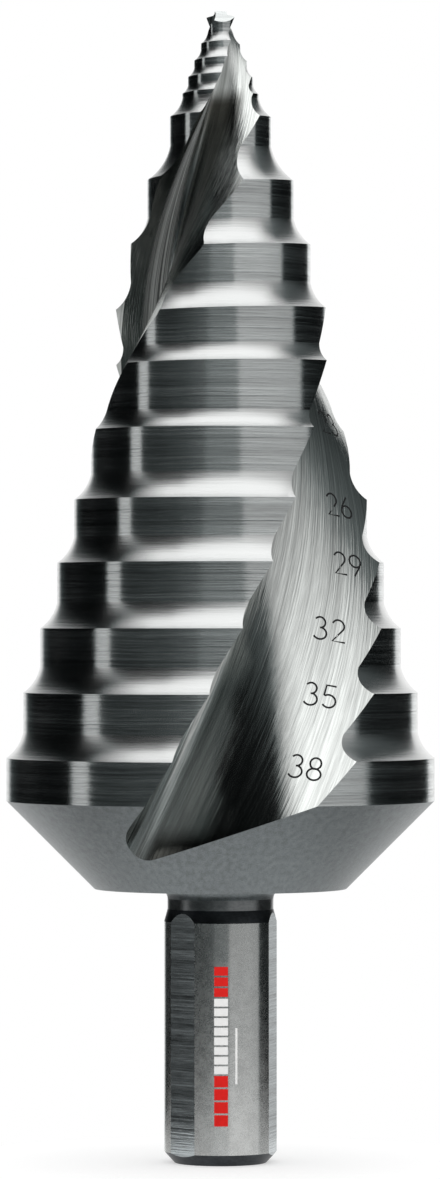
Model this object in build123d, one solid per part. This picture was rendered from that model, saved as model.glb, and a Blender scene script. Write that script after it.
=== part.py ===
from build123d import *
import math
import os

# Shank, in millimetres, with three flats for the chuck jaws
SHANK_RADIUS = 5.0
SHANK_LENGTH = 21.4
END_CHAMFER = 0.92
END_CHAMFER_HEIGHT = 1.0
FLAT_DEPTH = 0.22
FLAT_COUNT = 3
FIRST_FLAT_ANGLE = -44.3

# Neck above the shank, turned a little thinner, with a fillet under the head
TAPER_LENGTH = 1.1
NECK_LENGTH = 1.8
NECK_UNDERCUT = 0.3
NECK_FILLET = 0.9

# Underside of the head: a flat ring, then a cone out to the collar
UNDERSIDE_RADIUS = 11.2
UNDERSIDE_ANGLE = 45.0

# Each step from the collar up: its diameter and its length along the axis
STEPS = (
    (38.0, 3.8),
    (35.0, 5.8),
    (32.0, 5.7),
    (29.0, 5.8),
    (26.0, 5.6),
    (23.0, 6.2),
    (21.0, 6.0),
    (19.0, 4.8),
    (16.0, 5.7),
    (13.0, 5.8),
    (9.0, 5.6),
    (6.8, 2.1),
    (5.8, 1.5),
    (4.7, 1.5),
    (3.5, 1.5),
)
# Number of full-size steps, the last of which sets the cone that the flutes follow
FULL_STEP_COUNT = 11
# Angles from the axis at which the hollow over a step leaves the land and meets the corner
COVE_START_ANGLE = 11.0
COVE_END_ANGLE = 55.0

# Pilot, narrower at its waist than at its cutting corners
PILOT_LENGTH = 2.0
PILOT_RADIUS = 1.32
WAIST_RADIUS = 1.20
WAIST_HEIGHT = 1.15
# Point, ground as two facets that meet in a chisel ridge
POINT_HEIGHT = 0.7
FACET_ANGLE = 50.0
CHISEL_ANGLE = 97.0

# Flutes, right-hand, climbing at one helix angle
FLUTE_COUNT = 2
HELIX_ANGLE = 27.6
EDGE_ANGLE_AT_COLLAR = -12.6
# Sizes of a flute's section at the collar, half way up and at the tip
RAKE_ANGLES = (27.0, 20.0, 8.5)
CORE_SHARES = (0.69, 0.60, 0.24)
WIDTH_ANGLES = (50.7, 64.1, 80.2)
# Radii of the section's rounded foot and back wall, as shares of the cone's
FOOT_SHARE = 0.10
WALL_SHARE = 1.31
TURN_PER_SECTION = 12.0
# Over the small steps the flutes turn and open further, by these angles at the tip
TIP_TURN = 22.0
TIP_OPENING = 50.0
# How far a flute's cutter runs past the metal: sideways as a share of the cone's radius, and endways
RIM_MARGIN = 0.8
END_MARGIN = 1.0

shank_top = SHANK_LENGTH
neck_low = SHANK_LENGTH + TAPER_LENGTH
underside = neck_low + NECK_LENGTH
neck_radius = SHANK_RADIUS - NECK_UNDERCUT
collar_radius = STEPS[0][0] / 2
collar_low = underside + (collar_radius - UNDERSIDE_RADIUS) / math.tan(math.radians(UNDERSIDE_ANGLE))


def corner_heights():
    heights = []
    height = collar_low
    for diameter, length in STEPS:
        height += length
        heights.append(height)
    return heights


corners = corner_heights()
collar_top = corners[0]
pilot_low = corners[-1]
pilot_top = pilot_low + PILOT_LENGTH
tip = pilot_top + POINT_HEIGHT
last_radius = STEPS[FULL_STEP_COUNT - 1][0] / 2
small_low = corners[FULL_STEP_COUNT - 1]
cone_slope = (collar_radius - last_radius) / (small_low - collar_top)
cone_apex = collar_top + collar_radius / cone_slope
helix_rate = math.tan(math.radians(HELIX_ANGLE)) / cone_slope


def cove(inner, outer, height):
    """Hollow from a land of radius inner down to the next corner, and the height where it starts."""
    first = math.radians(COVE_START_ANGLE)
    last = math.radians(COVE_END_ANGLE)
    halfway = (first + last) / 2
    hollow = (outer - inner) / (math.cos(first) - math.cos(last))
    start = height + hollow * (math.sin(last) - math.sin(first))
    middle = (
        inner + hollow * (math.cos(first) - math.cos(halfway)),
        height + hollow * (math.sin(last) - math.sin(halfway)),
    )
    return start, ThreePointArc((inner, start), middle, (outer, height))


def blank():
    """Turned blank: pilot, steps, collar, neck and shank."""
    flare = (PILOT_RADIUS - WAIST_RADIUS) / (PILOT_LENGTH - WAIST_HEIGHT)
    tip_radius = PILOT_RADIUS + flare * POINT_HEIGHT
    with BuildPart() as solid:
        with BuildSketch(Plane.XZ):
            with BuildLine():
                Polyline((0, tip), (tip_radius, tip), (WAIST_RADIUS, pilot_low + WAIST_HEIGHT))
                inner = WAIST_RADIUS
                low = pilot_low + WAIST_HEIGHT
                for step, height in zip(reversed(STEPS), reversed(corners)):
                    outer = step[0] / 2
                    start, arc = cove(inner, outer, height)
                    Line((inner, low), (inner, start))
                    inner = outer
                    low = height
                fillet_edge = neck_radius + NECK_FILLET
                diagonal = NECK_FILLET * (1 - math.sqrt(0.5))
                Polyline(
                    (collar_radius, collar_top),
                    (collar_radius, collar_low),
                    (UNDERSIDE_RADIUS, underside),
                    (fillet_edge, underside),
                )
                ThreePointArc(
                    (fillet_edge, underside),
                    (neck_radius + diagonal, underside - diagonal),
                    (neck_radius, underside - NECK_FILLET),
                )
                Polyline(
                    (neck_radius, underside - NECK_FILLET),
                    (neck_radius, neck_low),
                    (SHANK_RADIUS, shank_top),
                    (SHANK_RADIUS, END_CHAMFER_HEIGHT),
                    (SHANK_RADIUS - END_CHAMFER, 0),
                    (0, 0),
                    (0, tip),
                )
            make_face()
        revolve(axis=Axis.Z)
    return solid.part


def between(values, share):
    """Quadratic through values given at the collar (0), half way (0.5) and the tip (1)."""
    low, middle, high = values
    return low * (1 - 2 * share) * (1 - share) + 4 * middle * share * (1 - share) + high * share * (2 * share - 1)


def arc_points(centre, radius, first, last, shares):
    """Points on a circle between two angles."""
    turns = [first + (last - first) * share for share in shares]
    return [centre + Vector(math.cos(turn), math.sin(turn)) * radius for turn in turns]


def tip_share(height):
    """Share of the tip's own angles that a section has, from 0 at the last full-size step to 1 at the tip."""
    return max(0.0, (height - small_low) / (tip - small_low)) ** 4


def section_points(height):
    """A flute's outline at one height: cutting face, rounded foot and back wall out to the heel."""
    share = (height - collar_top) / (tip - collar_top)
    rake = math.radians(between(RAKE_ANGLES, share))
    core = between(CORE_SHARES, share)
    width = math.radians(between(WIDTH_ANGLES, share) + TIP_OPENING * tip_share(height))
    edge = Vector(0, 1)
    inward = Vector(-math.sin(rake), -math.cos(rake))
    beside = Vector(math.cos(rake), -math.sin(rake)) * FOOT_SHARE
    # the foot's circle touches the cutting face and the core
    half = -(edge + beside).dot(inward)
    reach = half - math.sqrt(half**2 - (edge + beside).length ** 2 + (core + FOOT_SHARE) ** 2)
    foot = edge + beside + inward * reach
    touch = edge + inward * reach
    # the back wall's circle touches the foot's and passes through the heel
    heel = Vector(math.sin(width), math.cos(width))
    span = (heel - foot).length
    across = (heel - foot) / span
    outer = WALL_SHARE + FOOT_SHARE
    along = (outer**2 - WALL_SHARE**2 + span**2) / (2 * span)
    back = foot + across * along + Vector(across.Y, -across.X) * math.sqrt(outer**2 - along**2)
    first = math.pi - rake
    last = 2 * math.pi + math.atan2(back.Y - foot.Y, back.X - foot.X)
    foot_arc = arc_points(foot, FOOT_SHARE, first, last, (0.25, 0.5, 0.75, 1.0))
    first = math.atan2(foot.Y - back.Y, foot.X - back.X)
    last = math.atan2(heel.Y - back.Y, heel.X - back.X)
    wall_arc = arc_points(back, WALL_SHARE, first, last, (0.25, 0.5, 0.75, 1.0))
    away = Vector(math.sin(last), -math.cos(last)) * RIM_MARGIN
    face = [edge - inward * RIM_MARGIN, edge, (edge + touch) / 2, touch]
    return face + foot_arc + wall_arc + [heel + away / 2, heel + away]


def chord_shares(points):
    """Places of points along their chords, from 0 to 1."""
    lengths = [0]
    for start, end in zip(points, points[1:]):
        lengths.append(lengths[-1] + (end - start).length)
    return [length / lengths[-1] for length in lengths]


def flute():
    """Cutter for one flute, lofted through sections turned along a helix on the cone."""
    places = chord_shares(section_points((collar_top + tip) / 2))
    height = underside - END_MARGIN
    shrink = math.exp(-math.radians(TURN_PER_SECTION) / helix_rate)
    heights = []
    while height < tip + END_MARGIN:
        heights.append(height)
        height = cone_apex - (cone_apex - height) * shrink
    heights.append(tip + END_MARGIN)
    sections = []
    for height in heights:
        climb = math.log((cone_apex - collar_top) / (cone_apex - height)) * helix_rate
        turn = math.radians(EDGE_ANGLE_AT_COLLAR + TIP_TURN * tip_share(height)) + climb
        scale = cone_slope * (cone_apex - height)
        points = []
        for point in section_points(height):
            across = point.X * math.cos(turn) + point.Y * math.sin(turn)
            outward = point.Y * math.cos(turn) - point.X * math.sin(turn)
            points.append(Vector(across * scale, -outward * scale, height))
        outline = Edge.make_spline(points, parameters=places)
        sections.append(Wire([outline, Edge.make_line(points[-1], points[0])]))
    return Solid.make_loft(sections)


def flat_blocks():
    """Blocks that mill the flats from the shank's end up into the neck."""
    length = underside - NECK_FILLET
    depth = 2 * SHANK_RADIUS
    block = Pos(0, -SHANK_RADIUS + FLAT_DEPTH - depth / 2, length / 2) * Box(2 * SHANK_RADIUS, depth, length)
    return [Rot(0, 0, FIRST_FLAT_ANGLE + index * 360 / FLAT_COUNT) * block for index in range(FLAT_COUNT)]


def facet_blocks():
    """Blocks whose lower faces grind the point's two facets."""
    size = 4 * PILOT_RADIUS
    block = Rot(90 - FACET_ANGLE, 0, 0) * Pos(0, 0, size / 2) * Box(size, size, size)
    return [Pos(0, 0, tip) * Rot(0, 0, CHISEL_ANGLE - 90 + side) * block for side in (0, 180)]


cutter = flute()
drill = blank()
for index in range(FLUTE_COUNT):
    drill = drill - Rot(0, 0, index * 360 / FLUTE_COUNT) * cutter
for block in flat_blocks() + facet_blocks():
    drill = drill - block

os.makedirs("parts", exist_ok=True)
export_step(drill, "parts/step_drill.step")
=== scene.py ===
"""A conical step drill bit in a white studio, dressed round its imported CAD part.

The drill is one ground steel body. Its skin is built here as a set of smooth patches that follow the same
form as the CAD solid, so that every surface carries its own grinding marks in their true direction.
"""
import logging
import math
from dataclasses import dataclass, field
from enum import Enum

import bpy
import numpy as np
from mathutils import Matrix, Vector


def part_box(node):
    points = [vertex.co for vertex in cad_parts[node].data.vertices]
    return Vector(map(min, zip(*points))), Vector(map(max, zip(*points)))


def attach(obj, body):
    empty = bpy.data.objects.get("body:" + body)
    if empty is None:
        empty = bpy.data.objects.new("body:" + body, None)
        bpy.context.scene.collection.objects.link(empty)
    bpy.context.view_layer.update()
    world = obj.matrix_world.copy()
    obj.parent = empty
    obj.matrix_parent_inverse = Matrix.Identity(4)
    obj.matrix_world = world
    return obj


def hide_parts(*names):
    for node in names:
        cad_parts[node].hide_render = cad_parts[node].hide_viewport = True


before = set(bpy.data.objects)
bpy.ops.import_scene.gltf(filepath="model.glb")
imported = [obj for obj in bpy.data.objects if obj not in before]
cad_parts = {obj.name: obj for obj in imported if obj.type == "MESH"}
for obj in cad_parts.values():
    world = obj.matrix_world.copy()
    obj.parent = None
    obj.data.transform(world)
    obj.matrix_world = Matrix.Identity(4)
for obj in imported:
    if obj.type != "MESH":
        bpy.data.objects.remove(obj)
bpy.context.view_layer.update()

MM = 0.001
NODE = "step_drill"
# Helix angle of the flutes, in degrees
HELIX = 27.6
# In the grain layer, in millimetres: width of a flute's outline, and how far the second flute's is moved over
GRAIN_WIDTH = 19.0
GRAIN_OFFSET = 31.0
# Step over which a slope is measured, and what counts as nothing, in millimetres or as a share
SLOPE_STEP = 1e-4
TINY = 1e-6
# How often a range is halved to find a crossing
HALVINGS = 40
# Range of a noise texture's values that the finishes use
NOISE_RANGE = (0.38, 0.62)
# Share that the finer of two layers of marks has in their sum
FINE_SHARE = 0.6
# Turn of a shader's anisotropy that lays its highlight across the grain
QUARTER_TURN = 0.25
# Degrees between the points of a bow in a digit, and the fewest points of one
BOW_TURN = 15.0
BOW_POINTS = 5

Colour = tuple[float, float, float]
Stops = tuple[tuple[float, float], ...]
Socket = bpy.types.NodeSocket
Ends = tuple[float | Socket, float | Socket]
log = logging.getLogger("step_drill")


class Finish(Enum):
    """Surface finishes of the drill, each with its own material."""

    GROUND = "ground_steel"
    COVE = "cove_steel"
    FLUTE = "flute_steel"
    BLASTED = "blasted_steel"
    TURNED = "turned_steel"
    MILLED = "milled_steel"
    NECK = "neck_steel"
    BLACKENED = "blackened_steel"
    MARKING = "dark_marking"
    RED = "red_print"
    WHITE = "white_print"


@dataclass(frozen=True)
class Step:
    """One cutting step: its diameter, its length and the fall of its edge to the heel, in millimetres."""

    diameter: float
    length: float
    drop: float = 0.0


@dataclass(frozen=True)
class Row:
    """One ring of the turned form: radius, height, tilt of its normal above level and fall to the heel."""

    radius: float
    height: float
    tilt: float
    drop: float = 0.0


@dataclass
class Band:
    """Rings that join into one smooth surface with one finish."""

    finish: Finish
    rows: list[Row]

    def columns(self) -> tuple[np.ndarray, np.ndarray, np.ndarray, np.ndarray]:
        """Radii, heights, tilts and drops of the rings as four columns."""
        table = np.array([(row.radius, row.height, row.tilt, row.drop) for row in self.rows])
        return table[:, :1], table[:, 1:2], table[:, 2:3], table[:, 3:]

    def ring(self, angle: np.ndarray, share: np.ndarray) -> tuple[np.ndarray, np.ndarray]:
        """Where the rings run.

        Args:
            angle: rows x columns of angles from the front, in radians.
            share: how far each place lies from the heel (0) to the cutting edge (1).

        Returns:
            The radius and the height at each place.
        """
        radius, height, _, drop = self.columns()
        return radius + 0 * angle, height - drop * (1 - share) + 0 * angle

    def facing(self, angle: np.ndarray) -> np.ndarray:
        """Unit normals of the rings at rows x columns of angles."""
        lean = self.columns()[2] + 0 * angle
        return around(np.cos(lean), angle, np.sin(lean))


@dataclass(frozen=True)
class Point:
    """The flared pilot and the two facets over it that meet in a chisel ridge. Lengths in millimetres.

    Slope is the facets' fall per millimetre, flare the pilot's growth per millimetre, and fall_angle the
    direction from the front in which the near facet falls, in radians.
    """

    tip: float
    waist: float
    waist_radius: float
    flare: float
    slope: float
    fall_angle: float

    def ring(self, rise: np.ndarray, reach: np.ndarray, angle: np.ndarray) -> tuple[np.ndarray, np.ndarray]:
        """Rings of the pilot and of the facets.

        Args:
            rise: 0 at the pilot's waist and 1 on the facets.
            reach: 1 on the pilot's wall and 0 on the axis.
            angle: angles from the front, in radians.

        Returns:
            The radius and the height at each angle.
        """
        fall = self.slope * abs(np.cos(angle - self.fall_angle))
        rim = (self.waist_radius + self.flare * (self.tip - self.waist)) / (1 + self.flare * fall)
        radius = reach * (self.waist_radius + self.flare * rise * (self.tip - fall * rim - self.waist))
        return radius, self.waist + rise * (self.tip - fall * reach * rim - self.waist)


@dataclass
class PointBand(Band):
    """Rings of the pilot's wall or of the facets: each row's radius is its reach and its height its rise."""

    point: Point
    is_facet: bool

    def ring(self, angle: np.ndarray, share: np.ndarray) -> tuple[np.ndarray, np.ndarray]:
        """Where the rings run, whatever their share of the way from the heel."""
        reach, rise, _, _ = self.columns()
        return self.point.ring(rise, reach, angle)

    def facing(self, angle: np.ndarray) -> np.ndarray:
        """Unit normals of the facets, or of the pilot's wall.

        Args:
            angle: rows x columns of angles from the front, in radians.

        Returns:
            The normals, rows x columns x 3.
        """
        if not self.is_facet:
            lean = 0 * angle - math.atan(self.point.flare)
            return around(np.cos(lean), angle, np.sin(lean))
        lean = 0 * angle + math.atan(self.point.slope)
        far = np.cos(angle - self.point.fall_angle) < 0
        return around(np.sin(lean), self.point.fall_angle + math.pi * far, np.cos(lean))


@dataclass(frozen=True)
class Rims:
    """Where a band's rings leave the metal at a flute's cutting edge and heel.

    Places are shares of the flute's outline, angles are radians from the front and levels are heights.
    Is_cut tells whether the flute reaches the ring at all.
    """

    places: np.ndarray
    angles: np.ndarray
    levels: np.ndarray
    is_cut: np.ndarray


@dataclass
class Patch:
    """A grid of points with its normals and its places along and across the grinding marks.

    All lengths are in millimetres. Points and normals are rows x columns x 3, grain is rows x columns x 2.
    """

    finish: Finish
    points: np.ndarray
    normals: np.ndarray
    grain: np.ndarray


def between(values: tuple[float, float, float], share: np.ndarray) -> np.ndarray:
    """Quadratic through three values.

    Args:
        values: the values at a share of 0, a half and 1.
        share: where it is wanted.

    Returns:
        The value at each share.
    """
    low, middle, high = values
    ends = low * (1 - 2 * share) * (1 - share) + high * share * (2 * share - 1)
    return ends + 4 * middle * share * (1 - share)


def around(radius: np.ndarray, angle: np.ndarray, height: np.ndarray) -> np.ndarray:
    """Points at a radius and height, at an angle from the front (-Y) towards +X."""
    return np.stack([radius * np.sin(angle), -radius * np.cos(angle), height], axis=-1)


def plate(
    finish: Finish, points: np.ndarray, normals: np.ndarray, grain: np.ndarray, rise: float, sink: float
) -> list[Patch]:
    """A thin closed plate that hugs a surface.

    Args:
        finish: its finish.
        points: rows x columns of points on the surface.
        normals: the surface's unit normals there.
        grain: places on the surface, in millimetres.
        rise: how far the plate's face stands over the surface.
        sink: how far its back lies under it.

    Returns:
        Patches for its face, back and four sides.
    """
    face, back = points + normals * rise, points - normals * sink
    patches = [Patch(finish, face, normals, grain), Patch(finish, back, -normals, grain)]
    for edge, inner in ((0, 1), (-1, -2)):
        for turn in (lambda grid: grid, lambda grid: grid.swapaxes(0, 1)):
            rim = np.stack([turn(face)[edge], turn(back)[edge]])
            away = turn(points)[edge] - turn(points)[inner]
            away = away / np.linalg.norm(away, axis=-1, keepdims=True)
            patches.append(Patch(finish, rim, np.stack([away, away]), np.stack([turn(grain)[edge]] * 2)))
    return patches


def straight(start: tuple[float, float], end: tuple[float, float], shares: np.ndarray) -> list[Row]:
    """Rings of a cylinder or cone.

    Args:
        start: radius and height of the lower end.
        end: radius and height of the upper end.
        shares: places of the rings from 0 at the lower end to 1 at the upper one.

    Returns:
        The rings, with normals that point out of the metal.
    """
    across, up = end[0] - start[0], end[1] - start[1]
    tilt = math.atan2(-across, up)
    return [Row(start[0] + across * share, start[1] + up * share, tilt) for share in shares]


def gathered(cut: float, below: int, above: int) -> np.ndarray:
    """Shares from 0 to 1 that lie closest together just above the place where a cut begins.

    Args:
        cut: the place.
        below: number of shares up to it.
        above: number of shares from it on.

    Returns:
        The shares in order, with the place itself once.
    """
    return np.concatenate([np.linspace(0, cut, below)[:-1], cut + (1 - cut) * np.linspace(0, 1, above) ** 2])


def run_along(radius: np.ndarray, height: np.ndarray) -> np.ndarray:
    """Distance along a turned form's outline, counted on from the height of its first ring.

    Args:
        radius: radii of the rings, a row for each.
        height: heights of the rings.

    Returns:
        The distance at each place.
    """
    climb = np.hypot(np.diff(radius, axis=0), np.diff(height, axis=0))
    return np.concatenate([height[:1], height[:1] + np.cumsum(climb, axis=0)])


@dataclass(frozen=True)
class Section:
    """A flute's section at each height, on a cone of radius 1: cutting face, rounded foot and back wall.

    Centres and directions are complex numbers, with the cutting edge on the imaginary axis. Reach, foot_end
    and total are lengths along the outline from the cutting edge. The starts are angles of the two arcs.
    """

    inward: np.ndarray
    reach: np.ndarray
    foot: np.ndarray
    foot_start: np.ndarray
    foot_end: np.ndarray
    back: np.ndarray
    wall_start: np.ndarray
    total: np.ndarray


@dataclass(frozen=True)
class FluteForm:
    """The helical chip flute: a hooked section that turns and shrinks along the cone.

    Angles are in degrees. The three values of rake, core and width belong to the collar, half way and the
    tip. Core, foot and wall are radii as shares of the cone's radius. From tip_low up to the tip the flute
    turns and opens further, by tip_turn and tip_opening. Past is how far beyond its outline, as a share, the
    metal's surface is looked for.
    """

    collar_top: float
    tip: float
    slope: float
    apex: float
    helix: float = HELIX
    edge_angle: float = -12.6
    rakes: tuple[float, float, float] = (27.0, 20.0, 8.5)
    cores: tuple[float, float, float] = (0.69, 0.60, 0.24)
    widths: tuple[float, float, float] = (50.7, 64.1, 80.2)
    foot: float = 0.10
    wall: float = 1.31
    tip_low: float = 92.9
    tip_turn: float = 22.0
    tip_opening: float = 50.0
    past: float = 0.05

    def share(self, height: np.ndarray) -> np.ndarray:
        """How far up the head a height is, from 0 at the collar to 1 at the tip."""
        return (height - self.collar_top) / (self.tip - self.collar_top)

    def tip_share(self, height: np.ndarray) -> np.ndarray:
        """How much of the tip's own turn and opening a height has, 1 at the tip."""
        return np.maximum(0.0, (height - self.tip_low) / (self.tip - self.tip_low)) ** 4

    def turn(self, height: np.ndarray) -> np.ndarray:
        """Angle of the cutting edge.

        Args:
            height: heights above the shank's end.

        Returns:
            Its angle from the front at each height, in radians.
        """
        rate = math.tan(math.radians(self.helix)) / self.slope
        start = np.radians(self.edge_angle + self.tip_turn * self.tip_share(height))
        return start + rate * np.log((self.apex - self.collar_top) / (self.apex - height))

    def cone_radius(self, height: np.ndarray) -> np.ndarray:
        """Radius of the cone that the flute follows."""
        return self.slope * (self.apex - height)

    def core(self, height: np.ndarray) -> np.ndarray:
        """Radius of the metal left between the flutes, as a share of the cone's."""
        return between(self.cores, self.share(height))

    def section(self, height: np.ndarray) -> Section:
        """The section's line and two arcs, each of which touches the next.

        Args:
            height: heights above the shank's end.

        Returns:
            The section at each height.
        """
        rake = np.radians(between(self.rakes, self.share(height)))
        width = between(self.widths, self.share(height)) + self.tip_opening * self.tip_share(height)
        inward = -np.sin(rake) - 1j * np.cos(rake)
        corner = 1j + self.foot * (np.cos(rake) - 1j * np.sin(rake))
        half = -(corner * np.conj(inward)).real
        reach = half - np.sqrt(half**2 - abs(corner) ** 2 + (self.core(height) + self.foot) ** 2)
        foot = corner + inward * reach
        heel = np.sin(np.radians(width)) + 1j * np.cos(np.radians(width))
        span = abs(heel - foot)
        across = (heel - foot) / span
        outer = self.wall + self.foot
        along = (outer**2 - self.wall**2 + span**2) / (2 * span)
        back = foot + across * along - 1j * across * np.sqrt(outer**2 - along**2)
        foot_start = math.pi - rake
        foot_end = reach + self.foot * (2 * math.pi + np.angle(back - foot) - foot_start)
        wall_start = np.angle(foot - back)
        total = foot_end + self.wall * (wall_start - np.angle(heel - back))
        return Section(inward, reach, foot, foot_start, foot_end, back, wall_start, total)

    def outline(self, place: np.ndarray, height: np.ndarray) -> np.ndarray:
        """Section of the flute in the turned frame.

        Args:
            place: share of the outline's length, 0 at the cutting edge and 1 at the heel, on the cone.
            height: heights above the shank's end, one for each place.

        Returns:
            Points as complex numbers for a cone of radius 1, imaginary axis through the cutting edge.
        """
        part = self.section(height)
        run = place * part.total
        face = 1j + part.inward * run
        foot = part.foot + self.foot * np.exp(1j * (part.foot_start + (run - part.reach) / self.foot))
        wall = part.back + self.wall * np.exp(1j * (part.wall_start - (run - part.foot_end) / self.wall))
        return np.where(run < part.reach, face, np.where(run < part.foot_end, foot, wall))

    def deepest(self, height: np.ndarray) -> tuple[np.ndarray, np.ndarray]:
        """Where the outline is nearest the axis.

        Args:
            height: heights above the shank's end.

        Returns:
            Places on the outline, and angles from the cutting edge in radians.
        """
        part = self.section(height)
        turn = np.mod(np.angle(-part.foot) - part.foot_start, 2 * math.pi)
        return (part.reach + self.foot * turn) / part.total, np.arctan2(part.foot.real, part.foot.imag)

    def surface(self, place: np.ndarray, height: np.ndarray) -> np.ndarray:
        """Points of the flute in space.

        Args:
            place: places on the outline.
            height: heights above the shank's end, one for each place.

        Returns:
            The points, in millimetres.
        """
        point = self.outline(place, height)
        angle = self.turn(height) + np.arctan2(point.real, point.imag)
        return around(abs(point) * self.cone_radius(height), angle, height)

    def normals(self, place: np.ndarray, height: np.ndarray) -> np.ndarray:
        """Directions out of the metal at points of the flute.

        Args:
            place: places on the outline.
            height: heights above the shank's end, one for each place.

        Returns:
            The unit normals.
        """
        along = self.surface(place, height + SLOPE_STEP) - self.surface(place, height - SLOPE_STEP)
        across = self.surface(place + SLOPE_STEP, height) - self.surface(place - SLOPE_STEP, height)
        normal = np.cross(across, along)
        return normal / np.linalg.norm(normal, axis=-1, keepdims=True)

    def rim(self, radius: np.ndarray, height: np.ndarray, heel: bool) -> tuple[np.ndarray, np.ndarray]:
        """Where the outline crosses a circle round the axis.

        Args:
            radius: radius of the turned form at each height.
            height: heights above the shank's end.
            heel: whether the crossing at the heel is wanted, or else the one at the cutting edge.

        Returns:
            Places on the outline and angles from the front, in radians.
        """
        target = radius / self.cone_radius(height)
        near, _ = self.deepest(height)
        far = np.full_like(near, 1 + self.past if heel else -self.past)
        for _ in range(HALVINGS):
            middle = (near + far) / 2
            inside = abs(self.outline(middle, height)) < target
            near = np.where(inside, middle, near)
            far = np.where(inside, far, middle)
        point = self.outline(near, height)
        return near, self.turn(height) + np.arctan2(point.real, point.imag)


@dataclass
class Head:
    """The stepped cone with its two flutes, from the neck's fillet up to the point.

    Sizes are in millimetres and angles in degrees. Cone_step is the index of the step that sets the flutes'
    cone together with the collar. Pairs of ring counts belong to the rings before and after the place where
    the flutes begin to cut, counted from the end that the flutes don't reach. Rounds are tries at a place
    that is found step by step.
    """

    neck_radius: float = 4.7
    underside: float = 24.3
    fillet: float = 0.9
    underside_radius: float = 11.2
    collar_low: float = 32.1
    steps: tuple[Step, ...] = (
        Step(38.0, 3.8),
        Step(35.0, 5.8),
        Step(32.0, 5.7),
        Step(29.0, 5.8),
        Step(26.0, 5.6),
        Step(23.0, 6.2),
        Step(21.0, 6.0, 0.3),
        Step(19.0, 4.8, 0.5),
        Step(16.0, 5.7, 0.5),
        Step(13.0, 5.8, 0.5),
        Step(9.0, 5.6, 0.2),
        Step(6.8, 2.1, 0.25),
        Step(5.8, 1.5, 0.25),
        Step(4.7, 1.5, 0.25),
        Step(3.5, 1.5, 0.2),
    )
    cone_step: int = 10
    cove_start: float = 11.0
    cove_end: float = 55.0
    pilot_length: float = 2.0
    pilot_radius: float = 1.32
    waist_radius: float = 1.20
    waist_height: float = 1.15
    point_height: float = 0.7
    facet_angle: float = 50.0
    chisel_angle: float = 97.0
    flutes: int = 2
    land_columns: int = 48
    flute_columns: int = 72
    ring_turn: float = 2.0
    fillet_rings: int = 9
    ledge_rings: int = 4
    cone_rings: tuple[int, int] = (6, 26)
    cove_rings: int = 10
    pilot_rings: int = 13
    facet_rings: tuple[int, int] = (6, 17)
    close_rounds: int = 30
    point_rounds: int = 24
    corners: list[float] = field(init=False)
    flute: FluteForm = field(init=False)
    exit_height: float = field(init=False)
    point: Point = field(init=False)
    close_reach: float = field(init=False)

    def __post_init__(self) -> None:
        """Work out the steps' heights, the flute's cone and where the flute leaves the metal."""
        lengths = [step.length for step in self.steps]
        self.corners = [self.collar_low + float(sum(lengths[: count + 1])) for count in range(len(lengths))]
        collar = self.steps[0].diameter / 2
        last = self.steps[self.cone_step].diameter / 2
        slope = (collar - last) / (self.corners[self.cone_step] - self.corners[0])
        self.flute = FluteForm(self.corners[0], self.tip, slope, self.corners[0] + collar / slope)
        self.exit_height = self.find_exit()
        flare = (self.pilot_radius - self.waist_radius) / (self.pilot_length - self.waist_height)
        waist = self.corners[-1] + self.waist_height
        slope = math.tan(math.radians(90 - self.facet_angle))
        fall_angle = math.radians(self.chisel_angle - 90)
        self.point = Point(self.tip, waist, self.waist_radius, flare, slope, fall_angle)
        self.close_reach = self.find_close()

    @property
    def tip(self) -> float:
        """Height of the point."""
        return self.corners[-1] + self.pilot_length + self.point_height

    def core_radius(self, height: float) -> float:
        """Radius of the metal left between the flutes, in millimetres."""
        return float(self.flute.core(np.array(height)) * self.flute.cone_radius(height))

    def find_exit(self) -> float:
        """Find where the flutes run out through the cone under the collar.

        Returns:
            The height above the shank's end.
        """
        low, high = self.underside, self.collar_low
        widening = (self.steps[0].diameter / 2 - self.underside_radius) / (high - low)
        for _ in range(HALVINGS):
            middle = (low + high) / 2
            radius = self.underside_radius + widening * (middle - self.underside)
            low, high = (low, middle) if radius > self.core_radius(middle) else (middle, high)
        return (low + high) / 2

    def find_close(self) -> float:
        """Find where a flute's edge and heel meet on the facets.

        Returns:
            The reach, from 0 on the axis to 1 on the pilot's wall.
        """
        reach, level = 0.5, self.tip
        for _ in range(self.close_rounds):
            _, angle = self.flute.deepest(np.array(level))
            radius, height = self.point.ring(1.0, reach, angle + self.flute.turn(np.array(level)))
            reach = reach * self.core_radius(float(height)) / float(radius)
            level = float(height)
        return reach

    def land_rows(
        self, start: tuple[float, float], end: tuple[float, float], drops: tuple[float, float]
    ) -> list[Row]:
        """Rings of a land, close enough for the flute's turn.

        Args:
            start: radius and height of the land's foot.
            end: radius and height of its top.
            drops: fall to the heel at the foot and at the top.

        Returns:
            The rings from the foot up.
        """
        turn = self.flute.turn(np.array([start[1], end[1]]))
        count = max(2, math.ceil(math.degrees(turn[1] - turn[0]) / self.ring_turn))
        shares = np.linspace(0, 1, count + 1)
        falls = drops[0] + (drops[1] - drops[0]) * shares
        rows = straight(start, end, shares)
        return [Row(row.radius, row.height, row.tilt, fall) for row, fall in zip(rows, falls)]

    def cove_rows(self, inner: float, step: Step, height: float) -> list[Row]:
        """Rings of the hollow above a step's corner.

        Args:
            inner: radius of the next land.
            step: the step.
            height: height of its corner.

        Returns:
            The rings from the corner up to the next land.
        """
        first, last = math.radians(self.cove_end), math.radians(self.cove_start)
        radius = step.diameter / 2
        hollow = (radius - inner) / (math.cos(last) - math.cos(first))
        rows = []
        for turn in np.linspace(first, last, self.cove_rings + 1):
            inward = hollow * (math.cos(turn) - math.cos(first))
            up = hollow * (math.sin(first) - math.sin(turn))
            rows.append(Row(radius - inward, height + up, turn, step.drop))
        return rows

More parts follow.
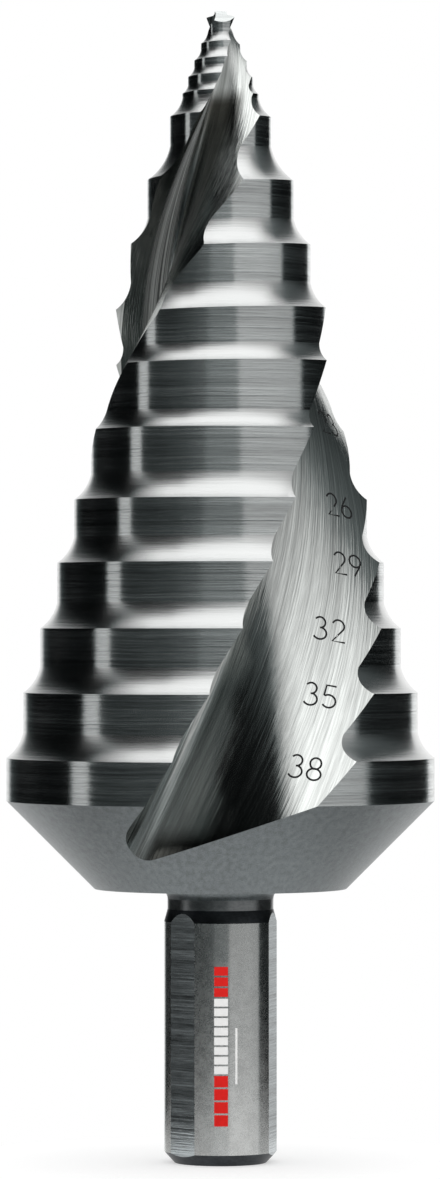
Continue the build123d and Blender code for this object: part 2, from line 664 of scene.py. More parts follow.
    def bands(self) -> list[Band]:
        """The turned form from the neck's fillet to the point.

        Returns:
            Smooth bands from the bottom up.
        """
        centre = self.neck_radius + self.fillet
        fillet = []
        for turn in np.linspace(0, math.pi / 2, self.fillet_rings):
            up = self.fillet * (1 - math.sin(turn))
            fillet.append(Row(centre - self.fillet * math.cos(turn), self.underside - up, -turn))
        ledge = (self.underside_radius, self.underside)
        collar = (self.steps[0].diameter / 2, self.collar_low)
        flat = np.linspace(0, 1, self.ledge_rings)
        cut = (self.exit_height - self.underside) / (self.collar_low - self.underside)
        bands = [
            Band(Finish.BLASTED, fillet),
            Band(Finish.BLASTED, straight((centre, self.underside), ledge, flat)),
            Band(Finish.BLASTED, straight(ledge, collar, gathered(cut, *self.cone_rings))),
        ]
        low, low_drop = self.collar_low, 0.0
        inners = [step.diameter / 2 for step in self.steps[1:]] + [self.waist_radius]
        for step, inner, height in zip(self.steps, inners, self.corners):
            foot, top = (step.diameter / 2, low), (step.diameter / 2, height)
            cove = self.cove_rows(inner, step, height)
            bands.append(Band(Finish.GROUND, self.land_rows(foot, top, (low_drop, step.drop))))
            bands.append(Band(Finish.COVE, cove))
            low, low_drop = cove[-1].height, step.drop
        foot, top = (self.waist_radius, low), (self.waist_radius, self.point.waist)
        bands.append(Band(Finish.GROUND, self.land_rows(foot, top, (low_drop, 0.0))))
        wall = [Row(1.0, share, 0.0) for share in np.linspace(0, 1, self.pilot_rings)]
        facet = [Row(reach, 1.0, 0.0) for reach in gathered(self.close_reach, *self.facet_rings)[::-1]]
        bands.append(PointBand(Finish.GROUND, wall, self.point, False))
        bands.append(PointBand(Finish.GROUND, facet, self.point, True))
        return bands

    def rims(self, band: Band) -> Rims:
        """Where each ring of a band meets the flute.

        Args:
            band: the rings.

        Returns:
            The rims, with a first column for the cutting edge and a second for the heel.
        """
        radius, height, _, _ = band.columns()
        on_point = isinstance(band, PointBand)
        level = np.full_like(height, self.tip) if on_point else np.maximum(height, self.exit_height)
        is_cut = radius > self.close_reach + TINY if on_point else height > self.exit_height + TINY
        place, angle = self.flute.deepest(level)
        angle = angle + self.flute.turn(level)
        places, angles, levels = [], [], []
        for heel in (False, True):
            share = 0.0 if heel else 1.0
            rim_place, rim_angle = place, angle
            for _ in range(self.point_rounds if on_point else 1):
                rim_radius, rim_level = band.ring(rim_angle, share)
                rim_place, rim_angle = self.flute.rim(rim_radius, rim_level, heel)
                rim_place = np.where(is_cut, rim_place, place)
                rim_angle = np.where(is_cut, rim_angle, angle)
            places.append(rim_place)
            angles.append(rim_angle)
            levels.append(band.ring(rim_angle, share)[1])
        return Rims(np.hstack(places), np.hstack(angles), np.hstack(levels), is_cut[:, 0])

    def land_patches(self, band: Band) -> list[Patch]:
        """Skin of a band between the flutes.

        Args:
            band: the rings.

        Returns:
            A patch for each land, with marks that run round the axis.
        """
        rims = self.rims(band)
        edge, heel = rims.angles[:, :1], rims.angles[:, 1:]
        share = np.linspace(0, 1, self.land_columns + 1)
        pitch = 2 * math.pi / self.flutes
        patches = []
        for index in range(self.flutes):
            angle = heel + (edge + pitch - heel) * share + index * pitch
            radius, level = band.ring(angle, share)
            grain = np.stack([angle * radius.max(), run_along(radius, level)], axis=-1)
            patches.append(Patch(band.finish, around(radius, angle, level), band.facing(angle), grain))
        return patches

    def flute_patches(self, bands: list[Band]) -> list[Patch]:
        """Skin of the flutes, from the underside to the point.

        Args:
            bands: the turned form that the flutes cut.

        Returns:
            A patch for each flute, with marks that run along it.
        """
        places, levels = [], []
        for rims in map(self.rims, bands):
            opens, closes = np.append(rims.is_cut[1:], False), np.insert(rims.is_cut[:-1], 0, False)
            for row in np.flatnonzero(rims.is_cut | opens | closes):
                if not levels or abs(rims.levels[row] - levels[-1]).max() > TINY:
                    places.append(rims.places[row])
                    levels.append(rims.levels[row])
        edge, heel = np.array(places).T[:, :, None]
        edge_level, heel_level = np.array(levels).T[:, :, None]
        place = np.clip(np.linspace(edge.min(), heel.max(), self.flute_columns + 1), edge, heel)
        share = (place - edge) / np.maximum(heel - edge, TINY)
        level = edge_level + (heel_level - edge_level) * share
        points = self.flute.surface(place, level)
        normals = self.flute.normals(place, level)
        grain = np.stack([level / math.cos(math.radians(HELIX)), place * GRAIN_WIDTH], axis=-1)
        half_turn = np.array([-1.0, -1.0, 1.0])
        beside = grain + np.array([0.0, GRAIN_OFFSET])
        return [
            Patch(Finish.FLUTE, points, normals, grain),
            Patch(Finish.FLUTE, points * half_turn, normals * half_turn, beside),
        ]

    def patches(self) -> list[Patch]:
        """The whole skin of the head.

        Returns:
            Its patches, the flutes' last.
        """
        bands = self.bands()
        patches = [patch for band in bands for patch in self.land_patches(band)]
        return patches + self.flute_patches(bands)


@dataclass
class Shank:
    """The round shank with its chuck flats, and the neck above it.

    Sizes are in millimetres and angles in degrees. Pairs of ring counts belong to the rings before and after
    the place where the flats begin to cut, counted from the end that the flats don't reach.
    """

    radius: float = 5.0
    length: float = 21.4
    chamfer: float = 0.92
    chamfer_height: float = 1.0
    flat_depth: float = 0.22
    flats: int = 3
    first_flat: float = -44.3
    taper: float = 1.1
    neck_radius: float = 4.7
    neck_top: float = 23.4
    flat_columns: int = 10
    round_columns: int = 24
    end_rings: int = 5
    chamfer_rings: tuple[int, int] = (5, 9)
    shank_rings: int = 21
    taper_rings: tuple[int, int] = (4, 9)
    neck_rings: int = 4

    def bands(self) -> list[Band]:
        """The turned form from the shank's end up to the neck.

        Returns:
            Smooth bands from the bottom up.
        """
        rim = self.radius - self.chamfer
        start, corner = (rim, 0.0), (self.radius, self.chamfer_height)
        top, neck = (self.radius, self.length), (self.neck_radius, self.length + self.taper)
        neck_top = (self.neck_radius, self.neck_top)
        chamfer_cut = (self.chamfer - self.flat_depth) / self.chamfer
        taper_cut = 1 - self.flat_depth / (self.radius - self.neck_radius)
        chamfer = gathered(chamfer_cut, *self.chamfer_rings)
        taper = 1 - gathered(taper_cut, *self.taper_rings)[::-1]
        return [
            Band(Finish.BLACKENED, straight((0.0, 0.0), start, np.linspace(0, 1, self.end_rings))),
            Band(Finish.BLACKENED, straight(start, corner, chamfer)),
            Band(Finish.TURNED, straight(corner, top, np.linspace(0, 1, self.shank_rings))),
            Band(Finish.BLACKENED, straight(top, neck, taper)),
            Band(Finish.NECK, straight(neck, neck_top, np.linspace(0, 1, self.neck_rings))),
        ]

    def patches(self) -> list[Patch]:
        """The whole skin of the shank and neck.

        Returns:
            Patches for the round stretches and the flats.
        """
        flat = self.radius - self.flat_depth
        pitch = 2 * math.pi / self.flats
        share = np.linspace(0, 1, self.round_columns + 1)
        patches = []
        for band in self.bands():
            radius, height, _, _ = band.columns()
            half = np.arccos(np.minimum(1.0, flat / np.maximum(radius, TINY)))
            run = run_along(radius, height)
            for index in range(self.flats):
                middle = math.radians(self.first_flat) + index * pitch
                angle = middle + half + (pitch - 2 * half) * share
                rings, level = band.ring(angle, share)
                grain = np.stack([angle * self.radius, run + 0 * angle], axis=-1)
                patches.append(Patch(band.finish, around(rings, angle, level), band.facing(angle), grain))
                if half.max() > 0:
                    patches.append(self.flat_patch(middle, half, height))
        return patches

    def flat_patch(self, middle: float, half: np.ndarray, height: np.ndarray) -> Patch:
        """One flat, level with its chord on each ring.

        Args:
            middle: angle of the flat's middle from the front, in radians.
            half: half of the angle that the flat takes, at each ring.
            height: heights of the rings.

        Returns:
            The patch, with marks that run across the shank.
        """
        flat = self.radius - self.flat_depth
        turn = half * np.linspace(-1, 1, self.flat_columns + 1)
        side = flat * np.tan(turn)
        level = height + 0 * side
        points = around(np.hypot(flat, side), middle + turn, level)
        normals = around(np.ones_like(side), np.full_like(side, middle), np.zeros_like(side))
        return Patch(Finish.MILLED, points, normals, np.stack([side, level], axis=-1))


def bow(centre: tuple[float, float], size: tuple[float, float], first: float, last: float) -> list[complex]:
    """Arc of an upright ellipse.

    Args:
        centre: its centre, as shares of a digit's height.
        size: its half width and half height.
        first: angle of its start, in degrees from the right, counted upwards.
        last: angle of its end.

    Returns:
        Points along it.
    """
    count = max(BOW_POINTS, round(abs(last - first) / BOW_TURN))
    turns = np.radians(np.linspace(first, last, count))
    return [complex(*centre) + complex(size[0] * math.cos(turn), size[1] * math.sin(turn)) for turn in turns]


DIGITS: dict[str, list[list[complex]]] = {
    "2": [bow((0.30, 0.73), (0.26, 0.27), 160, -32) + [0.05 + 0j, 0.60 + 0j]],
    "3": [bow((0.27, 0.76), (0.23, 0.24), 145, -90), bow((0.27, 0.27), (0.29, 0.27), 75, -150)],
    "5": [[0.54 + 1j, 0.13 + 1j, 0.06 + 0.54j] + bow((0.27, 0.29), (0.29, 0.29), 125, -145)],
    "6": [bow((0.29, 0.28), (0.27, 0.28), 165, -195) + [0.10 + 0.55j, 0.40 + 1j]],
    "8": [bow((0.29, 0.75), (0.23, 0.25), -90, 270), bow((0.29, 0.26), (0.29, 0.26), 90, -270)],
    "9": [bow((0.29, 0.71), (0.28, 0.28), -15, 345) + [0.48 + 0.45j, 0.20 + 0j]],
}


@dataclass(frozen=True)
class SizeMark:
    """Number of a step's diameter, and how far its middle lies inside and below that step's corner."""

    step: int
    inset: float
    below: float


@dataclass
class SizeNumbers:
    """The diameters marked along one flute's back wall as thin dark strokes.

    Sizes are in millimetres, and slope is in degrees. Digit_width is a share of the height. Rounds are tries
    at the place on the wall under each point of a stroke.
    """

    head: Head
    height: float = 2.1
    digit_width: float = 0.6
    pitch: float = 1.62
    stroke: float = 0.17
    slope: float = 10.0
    rise: float = 0.012
    sink: float = 0.04
    rounds: int = 8
    marks: tuple[SizeMark, ...] = (
        SizeMark(0, 1.9, 0.5),
        SizeMark(1, 2.2, 0.1),
        SizeMark(2, 2.3, 0.1),
        SizeMark(3, 1.7, 0.2),
        SizeMark(4, 1.85, 0.6),
        SizeMark(5, 1.9, -0.6),
    )

    def ribbon(self, points: list[complex]) -> np.ndarray:
        """Left and right edge of a stroke.

        Args:
            points: the stroke's middle line, in millimetres.

        Returns:
            Points x 2 complex numbers.
        """
        line = np.array(points)
        along = np.gradient(line)
        side = 1j * along / abs(along) * self.stroke / 2
        return np.stack([line + side, line - side], axis=1)

    def on_wall(self, mark: SizeMark, flat: np.ndarray) -> tuple[np.ndarray, np.ndarray]:
        """Lay a flat drawing on the flute's wall round a mark's middle.

        Args:
            mark: the mark.
            flat: the drawing, as complex numbers in millimetres.

        Returns:
            Points on the wall and the normals there.
        """
        form = self.head.flute
        level = np.array([self.head.corners[mark.step] - mark.below])
        radius = np.array([self.head.steps[mark.step].diameter / 2 - mark.inset])
        place, _ = form.rim(radius, level, True)
        middle = form.surface(place, level)[0]
        out = form.normals(place, level)[0]
        across = np.cross((0.0, 0.0, 1.0), out)
        across = across / np.linalg.norm(across)
        lean = math.radians(self.slope)
        along = across * math.cos(lean) - np.cross(out, across) * math.sin(lean)
        rising = np.cross(out, along)
        target = middle + flat.real[..., None] * along + flat.imag[..., None] * rising
        place = np.full(flat.shape, place[0])
        height = np.full(flat.shape, level[0])
        axes = np.stack([along, rising])
        for _ in range(self.rounds):
            here = form.surface(place, height)
            by_place = (form.surface(place + SLOPE_STEP, height) - here) / SLOPE_STEP
            by_height = (form.surface(place, height + SLOPE_STEP) - here) / SLOPE_STEP
            slopes = axes @ np.stack([by_place, by_height], axis=-1)
            change = np.linalg.solve(slopes, axes @ (target - here)[..., None])[..., 0]
            place, height = place + change[..., 0], height + change[..., 1]
        return form.surface(place, height), form.normals(place, height)

    def build(self) -> bpy.types.Object:
        """Build all the numbers.

        Returns:
            One piece of closed strokes.
        """
        patches: list[Patch] = []
        width = self.digit_width * self.height
        for mark in self.marks:
            text = f"{self.head.steps[mark.step].diameter:.0f}"
            for index, digit in enumerate(text):
                left = (index - len(text) / 2) * self.pitch + (self.pitch - width) / 2
                for stroke in DIGITS[digit]:
                    line = [complex(left, -self.height / 2) + point * self.height for point in stroke]
                    flat = self.ribbon(line)
                    wall, normals = self.on_wall(mark, flat)
                    grain = np.stack([flat.real, flat.imag], axis=-1)
                    patches += plate(Finish.MARKING, wall, normals, grain, self.rise, self.sink)
        return Skin(patches).build("size_numbers")


@dataclass(frozen=True)
class Field:
    """A row of short printed bars along the shank.

    Low and high are its ends in millimetres. Middle is its angle from the front and width the angle that it
    covers, in degrees.
    """

    finish: Finish
    low: float
    high: float
    bars: int
    middle: float = 0.6
    width: float = 14.0


@dataclass
class ShankPrint:
    """Plain coloured bars and a pale line printed along the shank. Sizes in millimetres."""

    shank: Shank
    gap: float = 0.16
    rise: float = 0.010
    sink: float = 0.03
    columns: int = 9
    rows: int = 3
    fields: tuple[Field, ...] = (
        Field(Finish.RED, 3.5, 8.1, 4),
        Field(Finish.WHITE, 8.1, 14.9, 8),
        Field(Finish.RED, 14.9, 17.7, 3),
        Field(Finish.WHITE, 7.2, 12.3, 1, 16.2, 2.2),
    )

    def bar(self, area: Field, low: float, high: float) -> list[Patch]:
        """One bar that hugs the shank.

        Args:
            area: the row that it belongs to.
            low: its lowest point.
            high: its highest point.

        Returns:
            The patches of a thin closed plate.
        """
        turns = np.radians(area.middle + area.width * np.linspace(-0.5, 0.5, self.columns))
        angle, level = np.meshgrid(turns, np.linspace(low, high, self.rows))
        normals = around(np.ones_like(angle), angle, np.zeros_like(angle))
        points = around(np.full_like(angle, self.shank.radius), angle, level)
        grain = np.stack([angle * self.shank.radius, level], axis=-1)
        return plate(area.finish, points, normals, grain, self.rise, self.sink)

    def build(self) -> bpy.types.Object:
        """Build all the bars.

        Returns:
            One piece of closed plates.
        """
        patches: list[Patch] = []
        for area in self.fields:
            pitch = (area.high - area.low) / area.bars
            for index in range(area.bars):
                low = area.low + index * pitch
                patches += self.bar(area, low + self.gap / 2, low + pitch - self.gap / 2)
        return Skin(patches).build("shank_print")


def new_object(name: str, points: np.ndarray, faces: list[tuple[int, ...]]) -> bpy.types.Object:
    """Make a mesh object in the scene.

    Args:
        name: the object's name.
        points: its vertices, in metres.
        faces: its faces, as indices of the vertices.

    Returns:
        The object.
    """
    mesh = bpy.data.meshes.new(name)
    mesh.from_pydata(points.tolist(), [], faces)
    made = bpy.data.objects.new(name, mesh)
    bpy.context.scene.collection.objects.link(made)
    return made


class Skin:
    """Joins patches into one mesh with its normals, finishes and grain."""

    def __init__(self, patches: list[Patch]) -> None:
        """Start empty and add the patches.

        Args:
            patches: the patches, in order.
        """
        self.points: list[np.ndarray] = []
        self.normals: list[np.ndarray] = []
        self.grain: list[np.ndarray] = []
        self.faces: list[tuple[int, ...]] = []
        self.finishes: list[Finish] = []
        self.count = 0
        for patch in patches:
            self.add(patch)

    def add(self, patch: Patch) -> None:
        """Add a patch, leaving out cells that have closed up.

        Args:
            patch: the patch, which may narrow to a line or a point.
        """
        rows, columns = patch.points.shape[:2]
        index = self.count + np.arange(rows * columns).reshape(rows, columns)
        cells = np.stack([index[:-1, :-1], index[:-1, 1:], index[1:, 1:], index[1:, :-1]], axis=-1)
        cells = cells.reshape(-1, 4)
        flat = patch.points.reshape(-1, 3)
        corners = flat[cells - self.count]
        normal = np.cross(corners[:, 2] - corners[:, 0], corners[:, 3] - corners[:, 1])
        facing = patch.normals.reshape(-1, 3)[cells - self.count].mean(axis=1)
        if (normal * facing).sum() < 0:
            cells = cells[:, ::-1]
            corners = corners[:, ::-1]
        gaps = np.linalg.norm(np.roll(corners, -1, axis=1) - corners, axis=2) > TINY
        for cell, open_sides in zip(cells.tolist(), gaps.tolist()):
            face = tuple(vertex for vertex, is_open in zip(cell, open_sides) if is_open)
            if len(face) >= 3:
                self.faces.append(face)
                self.finishes.append(patch.finish)
        self.points.append(flat)
        self.normals.append(patch.normals.reshape(-1, 3))
        self.grain.append(patch.grain.reshape(-1, 2))
        self.count += len(flat)

    def build(self, name: str) -> bpy.types.Object:
        """Make the object, dressed in its finishes.

        Args:
            name: the object's name.

        Returns:
            The object, linked to the scene, in metres, riding on the drill.
        """
        points = np.concatenate(self.points) * MM
        normals = np.concatenate(self.normals)
        grain = np.concatenate(self.grain)
        used = np.zeros(len(points), bool)
        used[[vertex for face in self.faces for vertex in face]] = True
        place = np.cumsum(used) - 1
        faces = [tuple(int(place[vertex]) for vertex in face) for face in self.faces]
        piece = new_object(name, points[used], faces)
        mesh = piece.data
        order = [finish for finish in Finish if finish in self.finishes]
        for finish in order:
            mesh.materials.append(FINISHES[finish].material(finish.value))
        mesh.polygons.foreach_set("material_index", [order.index(finish) for finish in self.finishes])
        mesh.polygons.foreach_set("use_smooth", [True] * len(faces))
        layer = mesh.uv_layers.new(name="grain")
        corners = np.zeros(len(mesh.loops), np.int64)
        mesh.loops.foreach_get("vertex_index", corners)
        layer.data.foreach_set("uv", grain[used][corners].astype(np.float32).ravel())
        mesh.normals_split_custom_set_from_vertices(normals[used].tolist())
        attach(piece, "root")
        return piece


class Nodes:
    """Adds and links nodes in one shader tree."""

    def __init__(self, tree: bpy.types.NodeTree) -> None:
        """Take over an empty tree."""
        self.tree = tree
        tree.nodes.clear()

    def add(self, kind: str, settings: dict[str, object] | None = None, **inputs: object) -> bpy.types.Node:
        """Add a node.

        Args:
            kind: its type, without the ShaderNode prefix.
            settings: values of its properties.
            inputs: values or output sockets for its inputs, by name with underscores for spaces.

        Returns:
            The node.
        """
        node = self.tree.nodes.new("ShaderNode" + kind)
        for name, value in (settings or {}).items():
            setattr(node, name, value)
        for name, value in inputs.items():
            key = int(name[1:]) if name[0] == "_" else name.replace("_", " ")
            if isinstance(value, Socket):
                self.tree.links.new(value, node.inputs[key])
            else:
                node.inputs[key].default_value = value
        return node

    def math(self, operation: str, first: object, second: object = 0.0) -> Socket:
        """Output of a math node with one or two inputs."""
        return self.add("Math", {"operation": operation}, _0=first, _1=second).outputs[0]

    def grain(self) -> Socket:
        """Places in the mesh's grain layer."""
        return self.add("UVMap", {"uv_map": "grain"}).outputs["UV"]

    def seen_by(self, *kinds: str) -> Socket:
        """Tell some kinds of light path from the others.

        Args:
            kinds: names of outputs of the light path node.

        Returns:
            1 where the path is of one of the kinds, and else 0.
        """
        paths = self.add("LightPath").outputs
        seen = paths[kinds[0]]
        for kind in kinds[1:]:
            seen = self.math("MAXIMUM", seen, paths[kind])
        return seen

    def summed(self, fine: Socket, coarse: Socket) -> Socket:
        """Two layers of marks together, mostly the finer one."""
        rest = self.math("MULTIPLY", coarse, 1 - FINE_SHARE)
        return self.math("ADD", self.math("MULTIPLY", fine, FINE_SHARE), rest)

    def spread(self, value: Socket, source: Ends = (0.0, 1.0), target: Ends = (0.0, 1.0)) -> Socket:
        """Move a value from one range to another.

        Args:
            value: the value.
            source: the range that it comes in, as numbers or sockets.
            target: the range that it is wanted in, which it doesn't leave.

        Returns:
            The moved value.
        """
        ends = {"From_Min": source[0], "From_Max": source[1], "To_Min": target[0], "To_Max": target[1]}
        return self.add("MapRange", Value=value, **ends).outputs["Result"]

    def strength(self, place: Socket, stops: Stops) -> Socket:
        """Strength of an effect at each place, between stops."""
        return self.ramp(place, [(where, (share,) * 3) for where, share in stops])

    def ramp(self, factor: Socket, stops: list[tuple[float, Colour]]) -> Socket:
        """Colour ramp.

        Args:
            factor: what the ramp is read by.
            stops: places from 0 to 1 with their colours, red, green and blue.

        Returns:
            The colour output.
        """
        node = self.add("ValToRGB", Fac=factor)
        elements = node.color_ramp.elements
        while len(elements) < len(stops):
            elements.new(0.5)
        for element, (place, _) in zip(elements, stops):
            element.position = place
        for element, (_, colour) in zip(elements, stops):
            element.color = (*colour, 1.0)
        return node.outputs["Color"]


def new_material(name: str) -> tuple[bpy.types.Material, Nodes]:
    """Make a material with an empty tree.

    Args:
        name: the material's name.

    Returns:
        The material and its nodes.
    """
    material = bpy.data.materials.new(name)
    material.use_nodes = True
    return material, Nodes(material.node_tree)


def tones(colour: Colour, swing: float) -> tuple[Colour, Colour]:
    """Two tones of a colour.

    Args:
        colour: the colour.
        swing: the share by which it is made darker and lighter.

    Returns:
        The darker and the lighter tone.
    """
    dark = tuple(value * (1 - swing) for value in colour)
    light = tuple(min(1.0, value * (1 + swing)) for value in colour)
    return dark, light


@dataclass(frozen=True)
class SteelFinish:
    """Bare steel with marks left by a wheel, a cutter or blasting.

    Marks are counted per millimetre across and along their direction. Depth is in millimetres. Tone is how
    far the marks' colour swings either way, and roughness_swing how far their roughness does. Sheen is the
    soft pale rim of a dull surface.
    """

    colour: Colour
    roughness: float
    roughness_swing: float
    across: float
    along: float
    depth: float
    tone: float
    anisotropy: float = 0.0
    sheen: float = 0.0

    def material(self, name: str) -> bpy.types.Material:
        """Build the material.

        Args:
            name: the material's name.

        Returns:
            A node material that reads the grain layer of the mesh.
        """
        material, nodes = new_material(name)
        grain = nodes.grain()
        marks = self.marks(nodes, grain, fine=1.0, short=1.0)
        nicks = self.marks(nodes, grain, fine=1.4, short=8.0)
        broad = self.marks(nodes, grain, fine=0.22, short=0.22)
        height = nodes.summed(nodes.summed(marks, nicks), broad)
        colour = nodes.ramp(height, list(zip(NOISE_RANGE, tones(self.colour, self.tone))))
        swing = self.roughness_swing
        rough = nodes.spread(height, NOISE_RANGE, (self.roughness - swing, self.roughness + swing))
        bump = nodes.add("Bump", Strength=1.0, Distance=self.depth * MM, Height=height).outputs["Normal"]
        shader = nodes.add(
            "BsdfPrincipled",
            Base_Color=self.streaks_and_painted_shade(nodes, grain, colour),
            Metallic=self.metal(nodes, grain),
            Roughness=self.coarser(nodes, grain, rough),
            Anisotropic=self.anisotropy,
            Anisotropic_Rotation=QUARTER_TURN,
            Sheen_Weight=self.sheen,
            Normal=bump,
        )
        if self.anisotropy:
            tangent = nodes.add("Tangent", {"direction_type": "UV_MAP", "uv_map": "grain"}).outputs["Tangent"]
            nodes.tree.links.new(tangent, shader.inputs["Tangent"])
        nodes.add("OutputMaterial", Surface=shader.outputs["BSDF"])
        return material

    def metal(self, nodes: Nodes, grain: Socket) -> float | Socket:
        """How much of the surface reflects as bare metal, which is all of it on plain steel."""
        return 1.0

    def streaks_and_painted_shade(self, nodes: Nodes, grain: Socket, colour: Socket) -> Socket:
        """Colour with streaks and painted shade where a finish has them, which is nowhere on plain steel."""
        return colour

    def coarser(self, nodes: Nodes, grain: Socket, rough: Socket) -> Socket:
        """Roughness where a part of the surface is left coarser, which is nowhere on plain steel."""
        return rough

    def marks(self, nodes: Nodes, grain: Socket, fine: float, short: float) -> Socket:
        """Streaked noise along the grain.

        Args:
            nodes: the tree to add to.
            grain: the grain coordinates, in millimetres along and across.
            fine: how fine it is, as a share of the finish's own count across.
            short: how short it is, as a share of the count along.

        Returns:
            A value round a half.
        """
        scaled = nodes.add("Mapping", Vector=grain, Scale=(self.along * short, self.across * fine, 1.0))
        return nodes.add("TexNoise", Vector=scaled.outputs["Vector"], Scale=1.0, Detail=1.5).outputs["Fac"]


@dataclass(frozen=True)
class Zone:
    """Part of a flute where coarse marks scatter light: stops across and along the flute, and how much."""

    across: Stops
    along: Stops
    scatter: float


@dataclass(frozen=True)
class FluteFinish(SteelFinish):
    """Ground steel of a flute, coarser in its rounded foot, with painted shade in brown over its hollow near
    the point and at its lower end.

    Places across are shares of the flute's outline, and places along are heights in millimetres, up to
    tallest. Each list of stops gives a place and how strong the effect is there. The zones are the foot, the
    crown, the lower end and the heel's rim.
    """

    foot: Stops = ((0.12, 0.0), (0.18, 1.0), (0.25, 1.0), (0.31, 0.0))
    near: Stops = ((58.0, 0.0), (70.0, 1.0), (94.0, 1.0), (99.0, 0.0))
    foot_roughness: tuple[float, float] = (0.03, 0.45)
    foot_tones: tuple[float, float] = (0.30, 1.50)
    # Where painted shade, a brown darkening of the hollow, lies across the flute, and below along it
    hollow: Stops = ((0.30, 0.0), (0.37, 1.0), (0.60, 1.0), (0.72, 0.7), (0.80, 0.0))
    shade_along: Stops = (
        (28.8, 0.88),
        (30.4, 0.0),
        (60.0, 0.0),
        (66.0, 0.3),
        (74.0, 0.5),
        (89.0, 0.82),
        (94.0, 1.0),
        (95.2, 0.0),
    )
    # Brown colour that the painted shade in the hollow leans to
    shade_colour: Colour = (0.12, 0.115, 0.10)
    zones: tuple[Zone, ...] = (
        Zone(foot, near, 0.46),
        Zone(
            ((0.13, 0.0), (0.22, 1.0), (0.54, 1.0), (0.66, 0.0)),
            ((91.6, 0.0), (94.4, 1.0), (97.6, 1.0), (99.6, 0.0)),
            0.52,
        ),
        Zone(((0.25, 0.0), (0.30, 1.0), (0.40, 1.0), (0.52, 0.0)), ((34.0, 1.0), (42.0, 0.0)), 0.13),
        Zone(((0.79, 0.0), (0.85, 1.0)), ((64.0, 0.0), (67.0, 1.0), (75.2, 1.0), (77.8, 0.0)), 1.0),
    )
    tallest: float = 100.0

    def share(self, nodes: Nodes, grain: Socket, across: Stops, along: Stops) -> Socket:
        """An effect's strength at each place, from stops across and along the flute.

        Args:
            nodes: the tree to add to.
            grain: the grain coordinates.
            across: stops across the flute.
            along: stops along it.

        Returns:
            The two strengths multiplied.
        """
        return nodes.math("MULTIPLY", self.beside(nodes, grain, across), self.nearness(nodes, grain, along))

    def beside(self, nodes: Nodes, grain: Socket, stops: Stops) -> Socket:
        """An effect's strength across the flute.

        Args:
            nodes: the tree to add to.
            grain: the grain coordinates.
            stops: the stops across the flute.

        Returns:
            The strength, the same on both flutes.
        """
        side = nodes.add("SeparateXYZ", Vector=grain).outputs["Y"]
        place = nodes.math("DIVIDE", nodes.math("MODULO", side, GRAIN_OFFSET), GRAIN_WIDTH)
        return nodes.strength(place, stops)

    def nearness(self, nodes: Nodes, grain: Socket, stops: Stops) -> Socket:
        """An effect's strength along the flute.

        Args:
            nodes: the tree to add to.
            grain: the grain coordinates.
            stops: the stops along the flute.

        Returns:
            The strength.
        """
        along = nodes.add("SeparateXYZ", Vector=grain).outputs["X"]
        height = nodes.math("MULTIPLY", along, math.cos(math.radians(HELIX)) / self.tallest)
        return nodes.strength(height, tuple((where / self.tallest, share) for where, share in stops))

    def metal(self, nodes: Nodes, grain: Socket) -> Socket:
        """Less bare metal in the zones where coarse marks scatter the light.

        Args:
            nodes: the tree to add to.
            grain: the grain coordinates.

        Returns:
            The share of bare metal.
        """
        scattered: float | Socket = 0.0
        for zone in self.zones:
            share = nodes.math("MULTIPLY", self.share(nodes, grain, zone.across, zone.along), zone.scatter)
            scattered = nodes.math("MAXIMUM", scattered, share)
        return nodes.math("SUBTRACT", 1.0, scattered)

    def streaks_and_painted_shade(self, nodes: Nodes, grain: Socket, colour: Socket) -> Socket:
        """Colour with the foot's streaks, and painted shade in brown over the hollow near the point and at
        the lower end.

        Args:
            nodes: the tree to add to.
            grain: the grain coordinates.
            colour: the colour without them.

        Returns:
            The changed colour.
        """
        blend = {"data_type": "RGBA", "blend_type": "MULTIPLY"}
        marks = self.marks(nodes, grain, fine=0.9, short=0.5)
        streaks = nodes.strength(marks, tuple(zip(NOISE_RANGE, self.foot_tones)))
        foot = self.beside(nodes, grain, self.foot)
        colour = nodes.add("Mix", blend, _0=foot, _6=colour, _7=streaks).outputs[2]
        # Painted shade: the hollow is darkened towards a brown colour at the lower end and near the point
        share = self.share(nodes, grain, self.hollow, self.shade_along)
        return nodes.add("Mix", blend, _0=share, _6=colour, _7=(*self.shade_colour, 1.0)).outputs[2]

    def coarser(self, nodes: Nodes, grain: Socket, rough: Socket) -> Socket:
        """Roughness with the foot's share added, which grows towards the point.

        Args:
            nodes: the tree to add to.
            grain: the grain coordinates.
            rough: the roughness without it.

        Returns:
            The changed roughness.
        """
        extra = nodes.spread(self.nearness(nodes, grain, self.near), target=self.foot_roughness)
        share = self.beside(nodes, grain, self.foot)
        return nodes.math("ADD", rough, nodes.math("MULTIPLY", share, extra))


@dataclass(frozen=True)
class PrintFinish:
    """Printed or marked colour with a slightly uneven surface.

    Grains are counted per millimetre. Tone is how far the colour swings either way, over the range of the
    noise that mottle gives, and depth is in millimetres.
    """

    colour: Colour
    roughness: float
    grains: float
    tone: float
    mottle: tuple[float, float] = (0.3, 0.7)
    depth: float = 0.003

    def material(self, name: str) -> bpy.types.Material:
        """Build the material.

        Args:
            name: the material's name.

        Returns:
            A node material with mottled colour and a little relief.
        """
        material, nodes = new_material(name)
        noise = nodes.add("TexNoise", Vector=nodes.grain(), Scale=self.grains, Detail=2.0).outputs["Fac"]
        colour = nodes.ramp(noise, list(zip(self.mottle, tones(self.colour, self.tone))))
        bump = nodes.add("Bump", Strength=0.5, Distance=self.depth * MM, Height=noise).outputs["Normal"]
        shader = nodes.add(
            "BsdfPrincipled", Base_Color=colour, Roughness=self.roughness, Specular_IOR_Level=0.2, Normal=bump
        )
        nodes.add("OutputMaterial", Surface=shader.outputs["BSDF"])
        return material


